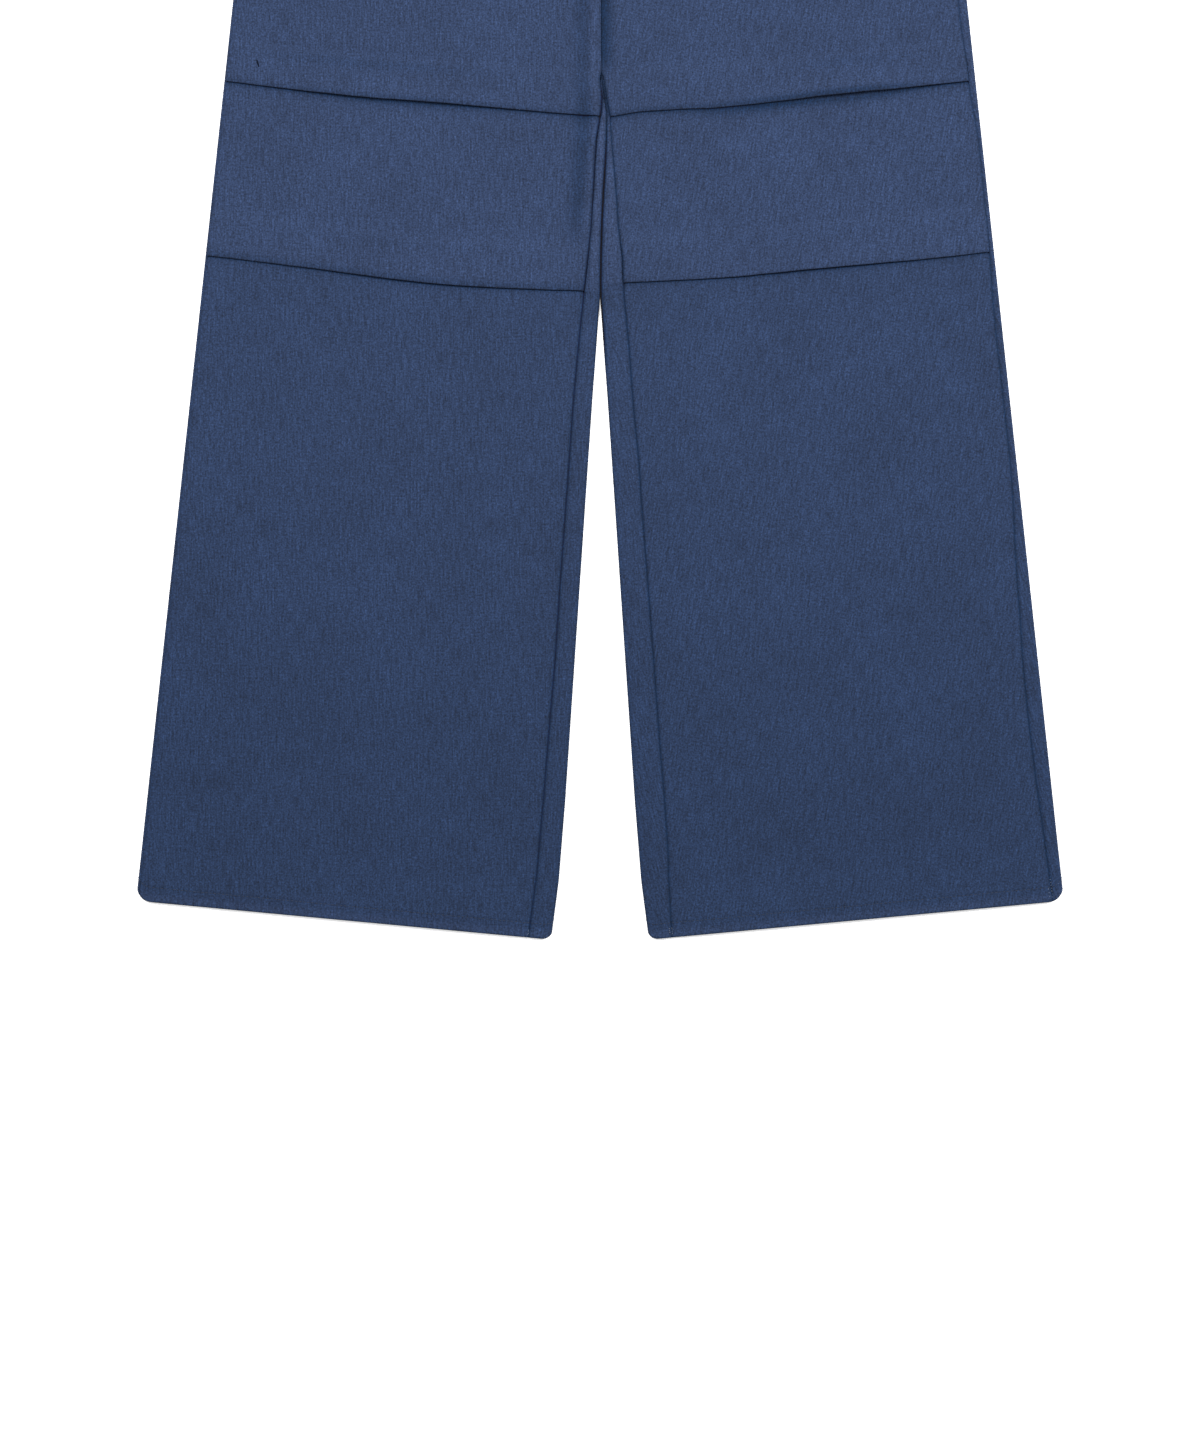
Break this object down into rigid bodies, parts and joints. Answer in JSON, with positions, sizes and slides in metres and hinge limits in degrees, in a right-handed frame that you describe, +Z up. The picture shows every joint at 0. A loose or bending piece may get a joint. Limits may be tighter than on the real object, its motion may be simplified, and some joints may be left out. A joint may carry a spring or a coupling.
{
  "type": "belted trousers",
  "caption": "Wide-leg trousers laid flat, with horizontal tucks across each front leg, narrow hems, a fly flap, and a cloth belt with a slide buckle in belt loops.",
  "frame": {"origin": "on the surface the trousers lie on, under the middle of their length and width", "axes": "+X towards the wearer's left, +Y from the hems to the waist, +Z up off the surface; the front of the garment faces up"},
  "size_m": [0.7028, 0.9443, 0.0163],
  "materials": {
    "cloth": "matte slubbed blue weave with a fine upright grain",
    "belt_cloth": "the same cloth, pressed flat and edge-stitched",
    "buckle_metal": "dark satin metal"
  },
  "bodies": {
    "root": {"back_right": "cloth", "front_right": "cloth", "back_left": "cloth", "front_left": "cloth", "fly_flap": "cloth", "waistband": "cloth", "belt_strap": "belt_cloth", "belt_buckle": "buckle_metal", "loop_front_right": "cloth", "loop_front_left": "cloth", "loop_back_right": "cloth", "loop_back_centre": "cloth", "loop_back_left": "cloth"}
  },
  "joints": []
}
